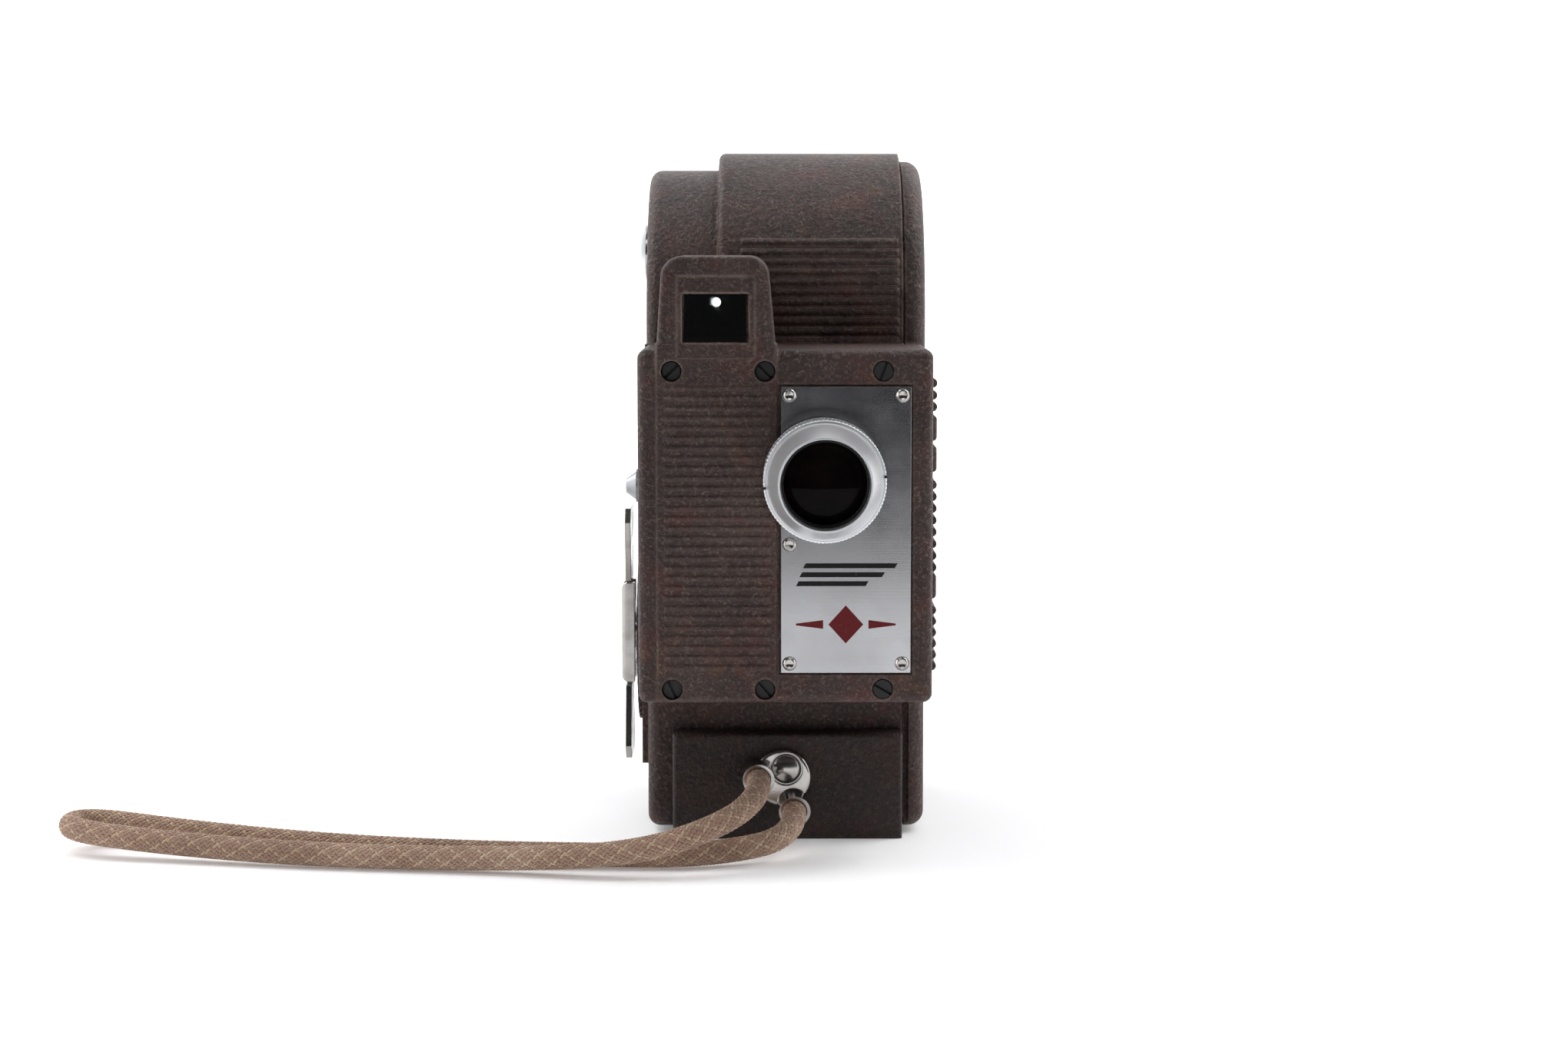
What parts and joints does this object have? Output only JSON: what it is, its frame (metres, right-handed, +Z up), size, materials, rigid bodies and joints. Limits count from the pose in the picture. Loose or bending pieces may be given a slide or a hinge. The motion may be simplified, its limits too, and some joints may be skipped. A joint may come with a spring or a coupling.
{
  "type": "spring-driven cine camera",
  "caption": "Upright spring-wound cine camera in brown crinkle enamel with a bright face plate, small lens, optical finder, winding key and braided wrist cord.",
  "frame": {"origin": "mouth of the threaded tripod bush, on the plane of the foot's underside", "axes": "+Z up, the lens looks along -Y, +X towards the film door"},
  "size_m": [0.1579, 0.1084, 0.1248],
  "materials": {
    "black_metal": "satin",
    "blued_steel": "satin",
    "bright_plate": "polished",
    "brown_enamel": "crinkle",
    "clear_glass": "polished",
    "dark_enamel": "crinkle",
    "dial_enamel": "matt",
    "grey_steel": "satin",
    "lens_alloy": "satin",
    "satin_steel": "satin",
    "tan_cord": "woven",
    "yellow_brass": "satin"
  },
  "bodies": {
    "housing": {"main_housing": "brown_enamel", "front_casing": "brown_enamel", "casing_screws": "black_metal", "lens_plate": "satin_steel", "plate_rivets": "bright_plate", "lens_mount_ring": "bright_plate", "lens_barrel": "black_metal", "lens_bezel": "lens_alloy", "front_lens": "clear_glass", "rear_lens": "clear_glass", "iris_diaphragm": "blued_steel", "finder_window": "clear_glass", "finder_tube": "black_metal", "eyepiece_ring": "bright_plate", "eyepiece_lens": "clear_glass", "foot_block": "dark_enamel", "tripod_bush": "yellow_brass", "strap_plate": "bright_plate", "strap_screw": "bright_plate", "wrist_cord": "tan_cord", "key_escutcheon": "dark_enamel", "pawl_post": "grey_steel", "footage_bezel": "bright_plate", "footage_crystal": "clear_glass", "mechanism_plate": "yellow_brass", "deck_screws": "grey_steel", "supply_spindle": "grey_steel", "roller_posts": "grey_steel", "film_gate": "satin_steel", "gate_spring": "grey_steel"},
    "stop_ring": {"aperture_ring": "lens_alloy"},
    "winding_key": {"key_hub": "bright_plate", "key_pins": "grey_steel", "winding_arbor": "grey_steel", "ratchet_wheel": "grey_steel"},
    "wing_upper": {"key_wing_upper": "bright_plate"},
    "wing_lower": {"key_wing_lower": "bright_plate"},
    "click": {"click_pawl": "grey_steel"},
    "great_wheel": {"spring_barrel": "yellow_brass", "mainspring": "blued_steel"},
    "first": {"first_wheel": "yellow_brass"},
    "idler": {"idler_wheel": "yellow_brass"},
    "drive": {"shutter_drive_shaft": "grey_steel"},
    "governor": {"governor_rotor": "yellow_brass"},
    "shutter": {"shutter_shaft": "grey_steel", "shutter_disc": "black_metal"},
    "take_up": {"take_up_spindle": "grey_steel", "take_up_spool": "black_metal"},
    "supply": {"supply_spool": "black_metal"},
    "roller_upper": {"upper_roller": "lens_alloy"},
    "roller_lower": {"lower_roller": "lens_alloy"},
    "pressure": {"pressure_plate": "satin_steel"},
    "claw": {"claw_arm": "grey_steel"},
    "counter": {"footage_dial": "dial_enamel"},
    "speed": {"speed_knob": "grey_steel"},
    "button": {"release_button": "bright_plate", "release_spring": "grey_steel"},
    "door": {"film_door": "brown_enamel"},
    "latch": {"door_latch_knob": "bright_plate", "door_latch_bar": "grey_steel"}
  },
  "joints": [
    {"name": "aperture_turn", "type": "hinge", "parent": "housing", "child": "stop_ring", "pos_m": [0.0064, -0.046, 0.068], "axis": [0, 1, 0], "range_deg": [-10, 100]},
    {"name": "key_turn", "type": "hinge", "parent": "housing", "child": "winding_key", "pos_m": [-0.029, 0.0125, 0.0348], "axis": [1, 0, 0], "continuous": true},
    {"name": "wing_upper_fold", "type": "hinge", "parent": "winding_key", "child": "wing_upper", "pos_m": [-0.0294, 0.0125, 0.042], "axis": [0, -1, 0], "range_deg": [0, 85]},
    {"name": "wing_lower_fold", "type": "hinge", "parent": "winding_key", "child": "wing_lower", "pos_m": [-0.0294, 0.0125, 0.0276], "axis": [0, 1, 0], "range_deg": [0, 85]},
    {"name": "click_rock", "type": "hinge", "parent": "housing", "child": "click", "pos_m": [-0.0084, 0.0035, 0.0293], "axis": [1, 0, 0], "range_deg": [0, 12], "stiffness_Nm_per_rad": 0.002, "springref_deg": -2.86},
    {"name": "barrel_turn", "type": "hinge", "parent": "housing", "child": "great_wheel", "pos_m": [-0.015, 0.0125, 0.0348], "axis": [1, 0, 0], "continuous": true},
    {"name": "first_wheel_turn", "type": "hinge", "parent": "housing", "child": "first", "pos_m": [-0.008, 0.02871, 0.0504], "axis": [1, 0, 0], "continuous": true},
    {"name": "idler_turn", "type": "hinge", "parent": "housing", "child": "idler", "pos_m": [-0.008, 0.01199, 0.0589], "axis": [1, 0, 0], "continuous": true},
    {"name": "drive_turn", "type": "hinge", "parent": "housing", "child": "drive", "pos_m": [-0.008, -0.003, 0.0585], "axis": [1, 0, 0], "continuous": true},
    {"name": "governor_turn", "type": "hinge", "parent": "housing", "child": "governor", "pos_m": [-0.008, 0.01588, 0.07339], "axis": [1, 0, 0], "continuous": true},
    {"name": "shutter_turn", "type": "hinge", "parent": "housing", "child": "shutter", "pos_m": [-0.001, -0.02, 0.0585], "axis": [0, 1, 0], "continuous": true},
    {"name": "take_up_turn", "type": "hinge", "parent": "housing", "child": "take_up", "pos_m": [0.005, 0.02, 0.0324], "axis": [1, 0, 0], "continuous": true},
    {"name": "supply_turn", "type": "hinge", "parent": "housing", "child": "supply", "pos_m": [0.005, 0.02, 0.0948], "axis": [1, 0, 0], "continuous": true},
    {"name": "roller_upper_turn", "type": "hinge", "parent": "housing", "child": "roller_upper", "pos_m": [0.009, -0.0249, 0.081], "axis": [1, 0, 0], "continuous": true},
    {"name": "roller_lower_turn", "type": "hinge", "parent": "housing", "child": "roller_lower", "pos_m": [0.009, -0.0249, 0.05], "axis": [1, 0, 0], "continuous": true},
    {"name": "pressure_plate_lift", "type": "slide", "parent": "housing", "child": "pressure", "axis": [0, 1, 0], "range_m": [0, 0.0015], "stiffness_N_per_m": 150, "springref_m": -0.001},
    {"name": "claw_stroke", "type": "slide", "parent": "housing", "child": "claw", "axis": [0, 0, 1], "range_m": [-0.00381, 0]},
    {"name": "counter_turn", "type": "hinge", "parent": "housing", "child": "counter", "pos_m": [-0.0245, 0.03, 0.0733], "axis": [1, 0, 0], "continuous": true},
    {"name": "speed_turn", "type": "hinge", "parent": "housing", "child": "speed", "pos_m": [-0.0255, 0, 0.0633], "axis": [1, 0, 0], "range_deg": [0, 150]},
    {"name": "release_push", "type": "slide", "parent": "housing", "child": "button", "axis": [1, 0, 0], "range_m": [0, 0.0012], "stiffness_N_per_m": 300, "springref_m": -0.002},
    {"name": "door_lift_off", "type": "slide", "parent": "housing", "child": "door", "axis": [1, 0, 0], "range_m": [0, 0.04]},
    {"name": "latch_turn", "type": "hinge", "parent": "door", "child": "latch", "pos_m": [0.026, 0.02, 0.0636], "axis": [1, 0, 0], "range_deg": [0, 90]}
  ],
  "couplings": [
    {"joint": "first_wheel_turn", "follows": "barrel_turn", "ratio": -4},
    {"joint": "take_up_turn", "follows": "barrel_turn", "ratio": 12},
    {"joint": "idler_turn", "follows": "barrel_turn", "ratio": 16},
    {"joint": "drive_turn", "follows": "barrel_turn", "ratio": -64},
    {"joint": "governor_turn", "follows": "barrel_turn", "ratio": -64},
    {"joint": "shutter_turn", "follows": "barrel_turn", "ratio": 64},
    {"joint": "counter_turn", "follows": "barrel_turn", "ratio": 0.15}
  ]
}
